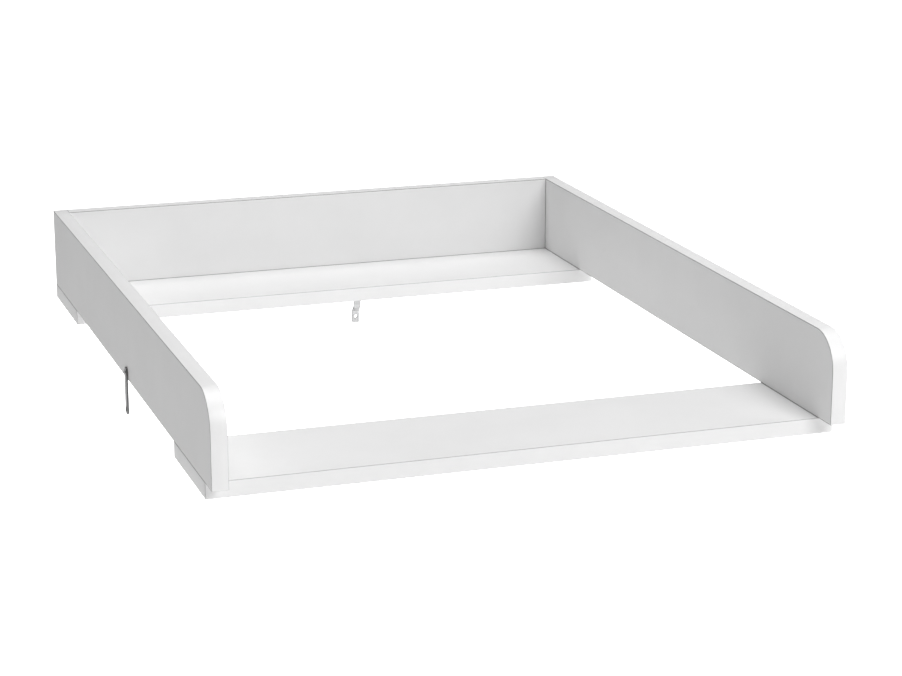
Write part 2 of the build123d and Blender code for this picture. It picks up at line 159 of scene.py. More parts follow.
def turned_rings(stations: Stations, angle: Array, dark: int = 0) -> Shell:
    """A surface given in polar form: at each height, a radius for every angle.

    Args:
        stations: Pairs of height and radius. A radius is one number or an array over the angles.
        angle: The angles, in radians, all the way round.
        dark: How many of the first stations lie in a recess, where shade is painted.

    Returns:
        The shell along +Z, closed at both ends.
    """
    rings = np.stack([np.insert(np.reshape(r, (-1, 1)) * circle(angle), 2, z, axis=1) for z, r in stations])
    return closed_rings(rings, edge=(np.arange(len(stations)) < dark).astype(float)[:, None])


def around(count: int) -> Array:
    """That many angles, evenly spaced round a circle."""
    return np.linspace(0.0, 2 * math.pi, count, endpoint=False)


def hexagon(flats: float, angle: Array) -> Array:
    """The radius of a hexagon at each angle: half its width, by the cosine from the nearest flat."""
    return flats / 2 / np.cos(np.mod(angle, math.pi / 3) - math.pi / 6)


def cross_outline(length: float, width: float, angle: Array) -> Array:
    """The radius of a four-armed cross at each angle: the nearer of an arm's side and its end."""
    turn = np.mod(angle + QUARTER / 2, QUARTER) - QUARTER / 2
    side = width / 2 / np.maximum(np.abs(np.sin(turn)), 1e-6)
    return np.minimum(side, length / 2 / np.cos(turn))


@dataclass(frozen=True)
class Thread:
    """A helical ridge on a shank."""

    core: float  # radius between the ridges
    outer: float
    pitch: float  # rise in one turn
    top: float = 1.15  # the ridge's height before its crest is cut flat at 1
    flank: float = 0.26  # how fast its sides fall, in turns for a height of 1

    def stations(self, start: float, end: float, angle: Array) -> Stations:
        """The ridge's height depends on (height / pitch - angle / full turn), and fades at both ends.

        Args:
            start: Where the thread starts along the shank.
            end: Where it ends.
            angle: The angles of the surface.

        Returns:
            Stations for turned_rings.
        """
        heights = np.arange(start, end, self.pitch / RINGS_IN_A_TURN)
        phase = np.mod(heights[:, None] / self.pitch - angle[None, :] / (2 * math.pi), 1.0)
        ridge = np.clip(self.top - np.abs(phase - 0.5) / self.flank, 0.0, 1.0)
        fade = np.clip(np.minimum(heights - start, end - heights) / self.pitch, 0.0, 1.0)[:, None]
        return list(zip(heights, self.core + (self.outer - self.core) * ridge * fade))


def rounded_section(half_out: float, half_side: float, radii: tuple[float, float], inset: float) -> Array:
    """A rectangle with rounded corners, going round counter-clockwise, made smaller by an inset.

    Args:
        half_out: Half its size along the first axis.
        half_side: Half its size along the second axis.
        radii: Corner radius on the positive and on the negative side of the first axis.
        inset: How much smaller it is on every side.

    Returns:
        Points with shape (4 * CORNER_POINTS, 2).
    """
    points = []
    for number, (sign_out, sign_side) in enumerate(((1, 1), (-1, 1), (-1, -1), (1, -1))):
        radius = radii[0] if sign_out > 0 else radii[1]
        left, spare = max(radius - inset, 0.0), max(inset - radius, 0.0)
        middle = (sign_out * (half_out - radius - spare), sign_side * (half_side - radius - spare))
        turn = np.linspace(0, QUARTER, CORNER_POINTS) + number * QUARTER
        points.append(middle + left * circle(turn))
    return np.concatenate(points)


def put(name: str, data: bpy.types.ID) -> bpy.types.Object:
    """Puts an object with this data into the scene."""
    item = bpy.data.objects.new(name, data)
    bpy.context.scene.collection.objects.link(item)
    return item


def add_piece(
    kind: str, node: str, shell: Shell, finish: Material, body: str = "frame"
) -> None:
    """Puts a shell into the scene as the piece that stands for a CAD node.

    Args:
        kind: How its surface was made, the first word of its name.
        node: The CAD node.
        shell: Its surface, in the row frame.
        finish: Its material.
        body: The CAD body it moves with.
    """
    mesh = bpy.data.meshes.new(f"{kind}_{node}")
    mesh.from_pydata(shell.points.tolist(), [], shell.faces)
    for title, values in (("glue_depth", shell.depth), ("painted_edge_shade", shell.edge)):
        attribute = mesh.attributes.new(title, "FLOAT", "POINT")
        attribute.data.foreach_set("value", values.astype(np.float32))
    work = bmesh.new()
    work.from_mesh(mesh)
    bmesh.ops.remove_doubles(work, verts=work.verts, dist=WELD)
    bmesh.ops.recalc_face_normals(work, faces=work.faces)
    work.to_mesh(mesh)
    work.free()
    mesh.set_sharp_from_angle(angle=math.radians(SMOOTH_DEGREES))
    mesh.polygons.foreach_set("use_smooth", [True] * len(mesh.polygons))
    mesh.materials.append(finish)
    piece = put(mesh.name, mesh)
    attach(piece, body)
    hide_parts(node)
    log.info("%s: %d faces", piece.name, len(mesh.polygons))


def dress(node: str, finish: Material) -> None:
    """Gives a CAD node's own mesh a finish."""
    materials = frame["nodes"][node].data.materials
    materials.clear()
    materials.append(finish)
    log.info("%s: dressed", node)


def span(node: str) -> tuple[Array, Array]:
    """A CAD node's lowest and highest corners, as arrays."""
    low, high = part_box(node)
    return np.array(low), np.array(high)


# ---- finishes


class Socket(Enum):
    """Kinds of node group sockets."""

    NUMBER = "NodeSocketFloat"
    VECTOR = "NodeSocketVector"


class Axis(Enum):
    """The three coordinates, as the vectors that pick them out."""

    X = (1.0, 0.0, 0.0)
    Y = (0.0, 1.0, 0.0)
    Z = (0.0, 0.0, 1.0)


class Tree:
    """A node tree with short calls for adding and joining nodes."""

    def __init__(self, tree: bpy.types.NodeTree) -> None:
        """Wraps a node tree."""
        self.tree = tree

    def feed(self, node: bpy.types.Node, values: dict) -> None:
        """Gives a node its inputs, by name or number. A socket is linked, anything else is set."""
        for key, value in values.items():
            if isinstance(value, Output):
                self.tree.links.new(value, node.inputs[key])
            else:
                node.inputs[key].default_value = value

    def add(self, kind: str, values: dict | None = None, **settings: object) -> bpy.types.Node:
        """Adds a node.

        Args:
            kind: Its type, without the leading ShaderNode.
            values: Its inputs, as feed takes them.
            settings: Properties of the node.

        Returns:
            The node.
        """
        node = self.tree.nodes.new("ShaderNode" + kind)
        for key, value in settings.items():
            setattr(node, key, value)
        self.feed(node, values or {})
        return node

    def sum(self, operation: str, *values: object) -> Output:
        """A Math node's result on the given values."""
        return self.add("Math", dict(enumerate(values)), operation=operation).outputs[0]

    def dot(self, vector: object, axis: object) -> Output:
        """The size of a vector's share along an axis."""
        product = self.add("VectorMath", {0: vector, 1: axis}, operation="DOT_PRODUCT")
        return self.sum("ABSOLUTE", product.outputs["Value"])

    def mix(self, factor: object, low: object, high: object) -> Output:
        """A colour between low and high."""
        return self.add("Mix", {0: factor, 6: low, 7: high}, data_type="RGBA").outputs[2]

    def ramp(self, value: object, low: float, high: float, to_low: float, to_high: float) -> Output:
        """A value moved smoothly from one range to another."""
        limits = {0: value, 1: low, 2: high, 3: to_low, 4: to_high}
        return self.add("MapRange", limits, interpolation_type="SMOOTHSTEP").outputs[0]

    def noise(self, vector: object, scale: object, detail: float, roughness: float = 0.5) -> Output:
        """A noise texture's value."""
        values = {"Vector": vector, "Scale": scale, "Detail": detail, "Roughness": roughness}
        return self.add("TexNoise", values).outputs[0]

    def attribute(self, name: str) -> Output:
        """A value that the mesh holds for each point."""
        return self.add("Attribute", attribute_name=name).outputs["Fac"]


def grey(value: float, warmth: float = 0.0) -> Tone:
    """A grey, with a little more red and less blue if it is warm."""
    return (value * (1 + warmth), value, value * (1 - warmth), 1.0)


def make_group(name: str, inputs: dict[str, object], outputs: list[str]) -> tuple:
    """Starts a shader node group.

    Args:
        name: The group's name.
        inputs: The default of each input: a number, a vector, or None for a vector without one.
        outputs: The names of its outputs, all numbers.

    Returns:
        The group, its Tree, its inputs' sockets and its output node.
    """
    group = bpy.data.node_groups.new(name, "ShaderNodeTree")
    for title, default in inputs.items():
        kind = Socket.NUMBER if isinstance(default, float) else Socket.VECTOR
        socket = group.interface.new_socket(title, in_out="INPUT", socket_type=kind.value)
        if default is not None:
            socket.default_value = default
    for title in outputs:
        group.interface.new_socket(title, in_out="OUTPUT", socket_type=Socket.NUMBER.value)
    given = group.nodes.new("NodeGroupInput")
    return group, Tree(group), given.outputs, group.nodes.new("NodeGroupOutput")


@cache
def speckle_group() -> bpy.types.NodeTree:
    """Fine grain and slow mottling: a noise for the height of a surface, a slower one for its tone."""
    inputs = {"Vector": None, "Grain": 1400.0, "Mottle": 9.0}
    group, tree, given, result = make_group("speckle", inputs, ["Height", "Tone", "Fine"])
    mottle = tree.noise(given["Vector"], given["Mottle"], 4.0, 0.55)
    finer = tree.noise(given["Vector"], tree.sum("MULTIPLY", given["Grain"], 0.22), 2.0)
    height = tree.noise(given["Vector"], given["Grain"], 3.0, 0.6)
    tree.feed(result, {"Height": height, "Tone": tree.ramp(mottle, 0.3, 0.7, 0.0, 1.0), "Fine": finer})
    return group


@cache
def streak_group() -> bpy.types.NodeTree:
    """Long fine lines along one axis: a noise on coordinates that are pressed together along that axis."""
    inputs = {"Vector": None, "Stretch": (1.0, 1.0, 1.0), "Scale": 1.0}
    group, tree, given, result = make_group("streak", inputs, ["Lines", "Bands"])
    vectors = {0: given["Vector"], 1: given["Stretch"]}
    pressed = tree.add("VectorMath", vectors, operation="MULTIPLY").outputs[0]
    wide = tree.noise(pressed, tree.sum("MULTIPLY", given["Scale"], 0.2), 2.0)
    bands = tree.ramp(wide, 0.35, 0.65, 0.0, 1.0)
    tree.feed(result, {"Lines": tree.noise(pressed, given["Scale"], 4.0), "Bands": bands})
    return group


@cache
def painted_shadow_line_group() -> bpy.types.NodeTree:
    """A soft painted shadow line where one coordinate's size is near a value, by its distance from it over
    the half width.

    It shows only where the size of another coordinate lies between two limits.
    """
    inputs = {"Vector": None, "Axis": Axis.X.value, "Place": 0.0, "Half Width": MM}
    inputs |= {"Within": Axis.Z.value, "Start": -1.0, "Stop": 1.0}
    group, tree, given, result = make_group("seam", inputs, ["Mask"])
    size = tree.dot(given["Vector"], given["Axis"])
    away = tree.sum("ABSOLUTE", tree.sum("SUBTRACT", size, given["Place"]))
    mask = tree.ramp(tree.sum("DIVIDE", away, given["Half Width"]), 0.6, 1.0, 0.75, 0.0)
    reach = tree.dot(given["Vector"], given["Within"])
    after = tree.sum("GREATER_THAN", reach, given["Start"])
    before = tree.sum("LESS_THAN", reach, given["Stop"])
    tree.feed(result, {"Mask": tree.sum("MULTIPLY", mask, tree.sum("MULTIPLY", after, before))})
    return group


class Paint:
    """A material with a Principled shader that is being made."""

    def __init__(self, name: str) -> None:
        """Starts the material under this name."""
        self.material = bpy.data.materials.new(name)
        self.material.use_nodes = True
        self.material.node_tree.nodes.clear()
        self.tree = Tree(self.material.node_tree)
        self.shader = self.tree.add("BsdfPrincipled")
        self.tree.add("OutputMaterial", {0: self.shader.outputs[0]})
        self.place = self.tree.add("TexCoord").outputs["Object"]

    def group(self, group: bpy.types.NodeTree, values: dict) -> Outputs:
        """Places a shared group with its own values, on the Object coordinates."""
        return self.tree.add("Group", {"Vector": self.place} | values, node_tree=group).outputs

    def speckle(self, grain: float, mottle: float) -> Outputs:
        """The speckle group's results, for features in a metre."""
        return self.group(speckle_group(), {"Grain": grain, "Mottle": mottle})

    def streak(self, stretch: Triple, scale: float) -> Outputs:
        """The streak group's results."""
        return self.group(streak_group(), {"Stretch": stretch, "Scale": scale})

    def mottled(self, speckle: Outputs, tone: float, spread: float, warmth: float = 0.0) -> Output:
        """A grey that the speckle group's slow noise lightens and darkens."""
        return self.tree.mix(speckle["Tone"], grey(tone - spread), grey(tone + spread, warmth))

    def finish(self, colour: object, rough: object, height: object, strength: float, depth: float) -> None:
        """Gives the shader its colour, its roughness and a bump.

        Args:
            colour: The colour.
            rough: The roughness.
            height: The bump's height.
            strength: The bump's strength.
            depth: The bump's distance.
        """
        bump = self.tree.add("Bump", {"Strength": strength, "Distance": depth, "Height": height})
        self.tree.feed(self.shader, {"Base Color": colour, "Roughness": rough, "Normal": bump.outputs[0]})


@dataclass(frozen=True)
class PaintedShadowLine:
    """A thin painted shadow line on a board, where another board stands on it or meets it."""

    axis: Axis  # the coordinate that it is at
    place: float  # its distance from the origin along that coordinate, on both sides
    within: Axis = Axis.Z  # the coordinate whose size limits where it shows
    start: float = -1.0  # the least size at which it shows
    stop: float = 1.0  # the greatest size at which it shows
    half_width: float = 0.6 * MM

    def values(self) -> dict[str, object]:
        """The seam group's inputs for it."""
        limits = {"Within": self.within.value, "Start": self.start, "Stop": self.stop}
        return {"Axis": self.axis.value, "Place": self.place, "Half Width": self.half_width} | limits


@dataclass(frozen=True)
class WhiteBoard:
    """Melamine-faced board: white, matt, with a fine pearl, faint mottling and painted shadow lines where
    other boards meet it.
    """

    name: str
    painted_shadow_lines: tuple[PaintedShadowLine, ...]  # the painted shadow lines where other boards meet it
    shadow: float = 0.14  # the grey of those painted shadow lines
    tone: float = 0.845
    spread: float = 0.010  # how far the mottling lightens and darkens it
    roughness: float = 0.46
    pearl: float = 1500.0  # features of the pearl in a metre

    def build(self) -> Material:
        """Makes the material."""
        paint = Paint(self.name)
        speckle = paint.speckle(self.pearl, 14.0)
        colour = paint.mottled(speckle, self.tone, self.spread)
        for seam in self.painted_shadow_lines:
            mask = paint.group(painted_shadow_line_group(), seam.values())["Mask"]
            # painted shadow: a thin dark line mixed into the board's colour where another board meets it
            colour = paint.tree.mix(mask, colour, grey(self.shadow))
        rough = paint.tree.ramp(speckle["Fine"], 0.35, 0.65, self.roughness - 0.05, self.roughness + 0.05)
        paint.finish(colour, rough, speckle["Height"], 0.10, 0.06 * MM)
        paint.shader.inputs["Specular IOR Level"].default_value = 0.4
        return paint.material


@dataclass(frozen=True)
class EdgeBand:
    """Plastic edge band: white, a little smoother than the board, with a thin dark glue line at the board,
    and painted shade along its rounded outer edges and ends.
    """

    tone: float = 0.905
    spread: float = 0.01  # how far the mottling lightens and darkens it
    glue: float = 0.14  # the grey of the glue line
    glue_width: float = 0.42 * MM  # how wide the glue line is
    edge_outline_shade: float = 0.34  # the grey of the painted shade along the rounded outer edges

    def build(self) -> Material:
        """Makes the material."""
        paint = Paint("edge_band")
        tree = paint.tree
        speckle = paint.speckle(900.0, 22.0)
        plain = paint.mottled(speckle, self.tone, self.spread)
        seam = tree.ramp(tree.attribute("glue_depth"), self.glue_width * 0.6, self.glue_width, 1.0, 0.0)
        # painted shade: darkens the band's rounded outer edges and its rounded ends
        with_edge_shade = tree.mix(tree.attribute("painted_edge_shade"), plain, grey(self.edge_outline_shade))
        colour = tree.mix(seam, with_edge_shade, grey(self.glue, 0.03))
        rough = tree.ramp(speckle["Fine"], 0.35, 0.65, 0.34, 0.42)
        paint.finish(colour, rough, speckle["Height"], 0.08, 0.05 * MM)
        return paint.material


@dataclass(frozen=True)
class Metal:
    """Plated or bare metal with fine lines from rolling or turning, and painted shade on its edges, in
    recesses and on hole walls.
    """

    name: str
    tone: float
    roughness: float
    stretch: Triple  # how the lines' coordinates are pressed: small along them
    scale: float = 2600.0  # lines in a metre
    cloud: float = 0.08  # how far slow clouding lightens and darkens it
    edge_shade: float = 0.12  # the grey of the painted shade on cut edges, in recesses and on hole walls

    def build(self) -> Material:
        """Makes the material."""
        paint = Paint(self.name)
        tree = paint.tree
        lines = paint.streak(self.stretch, self.scale)["Lines"]
        tone = paint.mottled(paint.speckle(2400.0, 160.0), self.tone, self.cloud, -0.01)
        plain = tree.mix(tree.ramp(lines, 0.4, 0.62, 0.0, 0.25), tone, grey(self.tone * 0.6))
        # painted shade: darkens cut edges, recesses and hole walls
        colour = tree.mix(tree.ramp(tree.attribute("painted_edge_shade"), 0.0, 1.0, 0.0, 0.9), plain, grey(self.edge_shade))
        rough = tree.ramp(lines, 0.3, 0.7, self.roughness - 0.08, self.roughness + 0.1)
        paint.finish(colour, rough, lines, 0.15, 0.05 * MM)
        paint.shader.inputs["Metallic"].default_value = 1.0
        return paint.material


@dataclass(frozen=True)
class Beech:
    """Raw beech: pale brown with darker flecks along the grain."""

    name: str
    stretch: Triple  # small along the grain
    pale: Tone = (0.78, 0.60, 0.40, 1.0)
    warm: Tone = (0.66, 0.46, 0.28, 1.0)
    fleck: Tone = (0.40, 0.24, 0.12, 1.0)

    def build(self) -> Material:
        """Makes the material."""
        paint = Paint(self.name)
        streak = paint.streak(self.stretch, 1600.0)
        lines = streak["Lines"]
        base = paint.tree.mix(streak["Bands"], self.warm, self.pale)
        colour = paint.tree.mix(paint.tree.ramp(lines, 0.56, 0.68, 0.0, 0.7), base, self.fleck)
        paint.finish(colour, paint.tree.ramp(lines, 0.3, 0.7, 0.62, 0.78), lines, 0.3, 0.08 * MM)
        return paint.material


# ---- boards and bands


@dataclass
class Boards:
    """The five laminated boards, with painted shadow lines where they meet. Their CAD shapes stay, holes
    included.
    """

    shadow_line_reach: float = 1.0 * MM  # how far the inner corners' painted shadow lines run into the side panels

    def build(self) -> None:
        """Dresses the boards."""
        wall = float(span("side_panel_right")[0][0])
        _, face, foot = (float(value) for value in span("back_panel")[0])
        along_wall = PaintedShadowLine(Axis.X, wall, start=foot / 2)
        along_back = PaintedShadowLine(Axis.Y, face, start=foot / 2)
        inner_corner = PaintedShadowLine(Axis.Y, face, Axis.X, stop=wall + self.shadow_line_reach)
        sides = WhiteBoard("white_board_sides", (inner_corner,)).build()
        dress("side_panel_left", sides)
        dress("side_panel_right", sides)
        for node, name, painted_shadow_lines in (
            ("back_panel", "white_board_back", (PaintedShadowLine(Axis.Z, foot), PaintedShadowLine(Axis.X, wall))),
            ("front_rail", "white_board_front_rail", (along_wall,)),
            ("rear_rail", "white_board_rear_rail", (along_wall, along_back)),
        ):
            dress(node, WhiteBoard(name, painted_shadow_lines).build())


@dataclass
class Bands:
    """The edge bands: a section with rounded corners, carried along each edge."""

    corner_radius: float = 36.5 * MM  # the side panels' rounded corner
    outer_round: float = 0.45 * MM  # rounding of a band's outer edges
    glue_round: float = 0.12 * MM  # rounding of its edges at the board
    end_round: float = 0.25 * MM

    def strip(self, route: Array, out: Array, side: Array, thickness: float, width: float) -> Shell:
        """Carries a band's section along a route in the middle of its thickness.

        At both ends the section shrinks along a quarter circle, so the ends are rounded too.

        Args:
            route: The route's points.
            out: The direction away from the board at each of them.
            side: The direction across the band.
            thickness: The band's thickness.
            width: Its width.

        Returns:
            The band's surface.
        """
        turn = np.linspace(0, QUARTER, END_RINGS)
        inset = self.end_round * (1 - np.sin(turn))
        ahead = self.end_round * (1 - np.cos(turn))[:, None]
        start = (route[1] - route[0]) / np.linalg.norm(route[1] - route[0])
        end = (route[-2] - route[-1]) / np.linalg.norm(route[-2] - route[-1])
        centres = np.vstack([route[0] + ahead * start, route[1:-1], (route[-1] + ahead * end)[::-1]])
        insets = np.concatenate([inset, np.zeros(len(route) - 2), inset[::-1]])
        outs = np.vstack([np.tile(out[0], (END_RINGS, 1)), out[1:-1], np.tile(out[-1], (END_RINGS, 1))])
        radii = (self.outer_round, self.glue_round)
        sections = np.stack([rounded_section(thickness / 2, width / 2, radii, value) for value in insets])
        rings = centres[:, None] + sections[..., :1] * outs[:, None] + sections[..., 1:] * side
        depth = sections[len(sections) // 2, :, 0] + thickness / 2
        # painted shade along the outer rounded corners of the section, and over the rounded ends
        edge_outline_shade = np.sin(np.linspace(0, math.pi, CORNER_POINTS))
        corners = np.concatenate([edge_outline_shade, 0 * edge_outline_shade, 0 * edge_outline_shade, edge_outline_shade])
        return closed_rings(rings, depth, np.maximum(corners, (insets > 0.01 * MM)[:, None]))

    def straight(self, node: str, out: Array) -> Shell:
        """A straight band that fills a CAD node's box.

        Args:
            node: The CAD node.
            out: The direction away from the board.

        Returns:
            The band's surface.
        """
        low, high = span(node)
        size = high - low
        through = int(np.argmax(np.abs(out)))
        along = int(np.argmax(np.where(np.arange(3) == through, 0, size)))
        across = 3 - through - along
        steps = np.linspace(low[along], high[along], 12)
        route = np.tile((low + high) / 2, (len(steps), 1))
        route[:, along] = steps
        outs = np.tile(out, (len(steps), 1))
        return self.strip(route, outs, np.eye(3)[across], size[through], size[across])

    def wrap(self, node: str) -> Shell:
        """The band over a side panel's front and top. Its route is a line, a quarter circle and a line.

        Args:
            node: The CAD node.

        Returns:
            The band's surface.
        """
        low, high = span(node)
        thickness = span("side_rear_band_left")[1][1] - span("side_rear_band_left")[0][1]
        turn = np.linspace(math.pi, QUARTER, 25)
        centre = np.array([low[1] + self.corner_radius, high[2] - self.corner_radius])
        arc = centre + (self.corner_radius - thickness / 2) * circle(turn)
        rise = np.linspace(low[2], arc[0, 1], 8)[:-1]
        run = np.linspace(arc[-1, 0], high[1], 24)[1:]
        flat = np.vstack([pairs(arc[0, 0], rise), arc, pairs(run, arc[-1, 1])])
        slope = np.concatenate([np.full(len(rise), math.pi), turn, np.full(len(run), QUARTER)])
        route = np.insert(flat, 0, (low[0] + high[0]) / 2, axis=1)
        outs = np.insert(circle(slope), 0, 0.0, axis=1)
        return self.strip(route, outs, np.eye(3)[0], thickness, high[0] - low[0])

    def build(self) -> None:
        """Builds every band."""
        right, back, up = np.eye(3)
        outward = {"back_top_band": up}
        for side in ("left", "right"):
            outward[f"side_rear_band_{side}"] = back
            outward[f"side_bottom_band_{side}"] = -up
        for rail in ("front_rail", "rear_rail"):
            for edge, direction in (("front", -back), ("rear", back), ("left", -right), ("right", right)):
                outward[f"{rail}_{edge}_band"] = direction
        shells = {node: self.straight(node, direction) for node, direction in outward.items()}
        for node in ("side_front_top_band_left", "side_front_top_band_right"):
            shells[node] = self.wrap(node)
        material = EdgeBand().build()
        for node, shell in shells.items():
            add_piece("rounded", node, shell, material)


# ---- fasteners


def solid_boxes(node: str) -> list[tuple[Array, Array]]:
    """Finds the separate solids of a CAD node: the points that edges join.

    Args:
        node: The CAD node.

    Returns:
        For each solid, its lowest corner and its highest corner.
    """
    work = bmesh.new()
    work.from_mesh(frame["nodes"][node].data)
    bmesh.ops.remove_doubles(work, verts=work.verts, dist=1e-7)
    seen, boxes = set(), []
    for vert in work.verts:
        if vert in seen:
            continue
        island, queue = [], [vert]
        seen.add(vert)
        while queue:
            current = queue.pop()
            island.append(tuple(current.co))
            fresh = {edge.other_vert(current) for edge in current.link_edges} - seen
            seen |= fresh
            queue += fresh
        points = np.array(island)
        boxes.append((points.min(axis=0), points.max(axis=0)))
    work.free()
    return sorted(boxes, key=lambda box: tuple(np.round(box[0], 4)))


def stood(node: str, axis: int, make: Callable[[float], Shell], inward: bool = False) -> Shell:
    """Makes one piece for each solid of a CAD node and stands it in the solid's place.

    Args:
        node: The CAD node.
        axis: The axis that the solids stand along.
        make: Makes a piece of a given length along +Z from zero.
        inward: Whether each starts at its end that is farther from the origin, not at its low end.

    Returns:
        All the pieces' surface.
    """
    shells = []
    for low, high in solid_boxes(node):
        start = (low + high) / 2
        from_high = inward and start[axis] > 0
        start[axis] = high[axis] if from_high else low[axis]
        direction = np.eye(3)[axis] * (-1 if from_high else 1)
        shells.append(make(high[axis] - low[axis]).placed(start, direction))
    return Shell.of(shells)


@dataclass
class BoardScrews:
    """Board screws: a countersunk head with a hexagon socket, a plain neck and a coarse helical thread."""

    finish: Metal
    thread: Thread = Thread(2.5 * MM, 3.5 * MM, 3.0 * MM)
    head: float = 4.8 * MM  # its radius, as for the neck
    neck: float = 3.4 * MM
    tip: float = 4.0 * MM
    socket: float = 4.0 * MM  # the socket's width over flats
    socket_depth: float = 2.8 * MM

    def screw(self, length: float) -> Shell:
        """One screw along +Z with its head's face at zero.

        Args:
            length: From the head's face to the tip.

        Returns:
            Its surface.
        """
        angle = around(48)
        flats = hexagon(self.socket, angle)
        stations = [
            (self.socket_depth + 0.5 * MM, 0.05 * MM), (self.socket_depth, flats * 0.98),
            (0.25 * MM, flats), (0.02 * MM, flats + 0.25 * MM), (0.0, 3.0 * MM),
            (0.0, self.head - 0.35 * MM), (0.08 * MM, self.head - 0.12 * MM), (0.3 * MM, self.head),
            (1.0 * MM, self.head), (1.3 * MM, self.head - 0.15 * MM), (4.0 * MM, self.neck + 0.02 * MM),
            (4.3 * MM, self.neck), (13.6 * MM, self.neck), (14.0 * MM, self.thread.core),
        ]
        end = length - self.tip
        stations += self.thread.stations(14.1 * MM, end, angle)
        stations += [(end, self.thread.core), (length - 0.3 * MM, 0.3 * MM), (length, 0.02 * MM)]
        return turned_rings(stations, angle, dark=3)

    def build(self) -> None:
        """Builds the three groups of screws."""
        material = self.finish.build()
        for node in ("front_rail_screws", "rear_rail_screws", "back_panel_screws"):
            add_piece("threaded", node, stood(node, 2, self.screw), material)


@dataclass
class Dowels:
    """Fluted dowels with broken ends: the radius dips along shallow grooves that twist slowly."""

    radius: float = 4.0 * MM  # radius over the flutes
    groove: float = 0.22 * MM
    flutes: int = 16
    twist: float = 0.5  # how far they turn over the length, in radians
    chamfer: float = 1.0 * MM  # how far the ends are broken

    def dowel(self, length: float) -> Shell:
        """One dowel along +Z from zero.

        Args:
            length: Its length.

        Returns:
            Its surface.
        """
        angle = around(96)
        heights = np.linspace(0, length, 26)
        twist = angle[None, :] + heights[:, None] / length * self.twist
        flute = self.groove * np.clip(np.cos(self.flutes * twist) - 0.2, 0, 1)
        end = np.minimum(heights, length - heights)[:, None]
        radii = self.radius - flute - np.clip(self.chamfer - end, 0, None)
        return turned_rings(list(zip(heights, radii)), angle)

    def build(self) -> None:
        """Builds the three groups of dowels."""
        upright = Beech("beech_upright", (1.0, 1.0, 0.06)).build()
        level = Beech("beech_level", (0.06, 1.0, 1.0)).build()
        for node, axis, material in (
            ("rail_dowels", 2, upright),
            ("back_bottom_dowels", 2, upright),
            ("back_end_dowels", 0, level),
        ):
            add_piece("fluted", node, stood(node, axis, self.dowel), material)


@dataclass
class CamFittings:
    """Cam locks, whose CAD shapes stay, and their bolts with a thread, a sleeve, a neck and a round head."""

    bolt_finish: Metal
    lock_finish: Metal
    thread: Thread = Thread(2.3 * MM, 3.0 * MM, 2.0 * MM)
    thread_length: float = 11.0 * MM
    sleeve: float = 3.5 * MM  # its radius, as for the neck and the head
    neck: float = 2.0 * MM
    neck_length: float = 6.5 * MM
    head: float = 3.2 * MM
    head_length: float = 3.0 * MM

    def bolt(self, length: float) -> Shell:
        """One bolt along +Z from its screwed end.

        Args:
            length: Its whole length.

        Returns:
            Its surface.
        """
        angle = around(40)
        joint = self.thread_length
        head_start = length - self.head_length
        neck_start = head_start - self.neck_length
        stations = [(0.0, 1.0 * MM), (0.6 * MM, self.thread.core)]
        stations += self.thread.stations(0.7 * MM, joint - 0.4 * MM, angle)
        stations += [
            (joint - 0.2 * MM, self.thread.core), (joint, self.sleeve - 0.3 * MM),
            (joint + 0.3 * MM, self.sleeve), (neck_start - 0.3 * MM, self.sleeve),
            (neck_start, self.sleeve - 0.3 * MM), (neck_start + 0.05 * MM, self.neck),
            (head_start, self.neck), (head_start + 0.1 * MM, self.head - 0.4 * MM),
            (head_start + 0.5 * MM, self.head), (length - 0.7 * MM, self.head),
            (length - 0.1 * MM, self.head - 0.7 * MM), (length, 1.2 * MM),
        ]
        return turned_rings(stations, angle)

    def build(self) -> None:
        """Builds the bolts and dresses the cams."""
        shell = stood("cam_bolts", 0, self.bolt, inward=True)
        add_piece("threaded", "cam_bolts", shell, self.bolt_finish.build())
        dress("cam_locks", self.lock_finish.build())


@dataclass
class PanScrew:
    """A small screw with a domed head and a cross recess."""

    thread: Thread = Thread(1.15 * MM, 1.75 * MM, 1.6 * MM)
    head: float = 3.1 * MM  # its radius, as for the shank
    height: float = 1.3 * MM
    rim: float = 0.35 * MM
    shank: float = 2.0 * MM  # radius of the plain part
    tip: float = 2.5 * MM
    recess: float = 3.6 * MM  # length of the cross
    arm: float = 0.9 * MM  # width of the cross's arms

    def shell(self, plain: float, length: float) -> Shell:
        """The screw along +Z, with the underside of its head at zero.

        Args:
            plain: Length of the plain part.
            length: From under the head to the tip.

        Returns:
            Its surface.
        """
        angle = around(64)
        top = -self.height
        lip = cross_outline(self.recess + 0.15 * MM, self.arm + 0.15 * MM, angle)
        stations = [
            (top + 1.05 * MM, 0.05 * MM),
            (top + 0.95 * MM, cross_outline(self.recess * 0.45, self.arm * 0.7, angle)),
            (top + 0.45 * MM, cross_outline(self.recess * 0.8, self.arm * 0.95, angle)),
            (top + 0.06 * MM, cross_outline(self.recess, self.arm, angle)),
            (top + 0.02 * MM, lip),
        ]
        for turn in np.linspace(0.15, QUARTER, 9)[2:]:
            height = -self.rim - (self.height - self.rim) * math.cos(turn)
            stations.append((height, np.maximum(self.head * math.sin(turn), lip + 0.01 * MM)))
        end = length - self.tip
        stations += [
            (-0.12 * MM, self.head), (0.0, self.head - 0.12 * MM), (0.0, self.shank + 0.15 * MM),
            (0.1 * MM, self.shank), (plain - 0.2 * MM, self.shank), (plain, self.thread.core),
            *self.thread.stations(plain + 0.05 * MM, end, angle), (end, self.thread.core),
            (length - 0.2 * MM, 0.15 * MM), (length, 0.01 * MM),
        ]
        return turned_rings(stations, angle, dark=4)


# ---- straps


@dataclass(frozen=True)
class Hole:
    """A round hole in a strap, with or without a countersink on the outer face."""

    radius: float
    sink: float  # the countersink's radius, or the hole's for none
    sink_depth: float = 0.0  # the countersink's depth, or zero for none


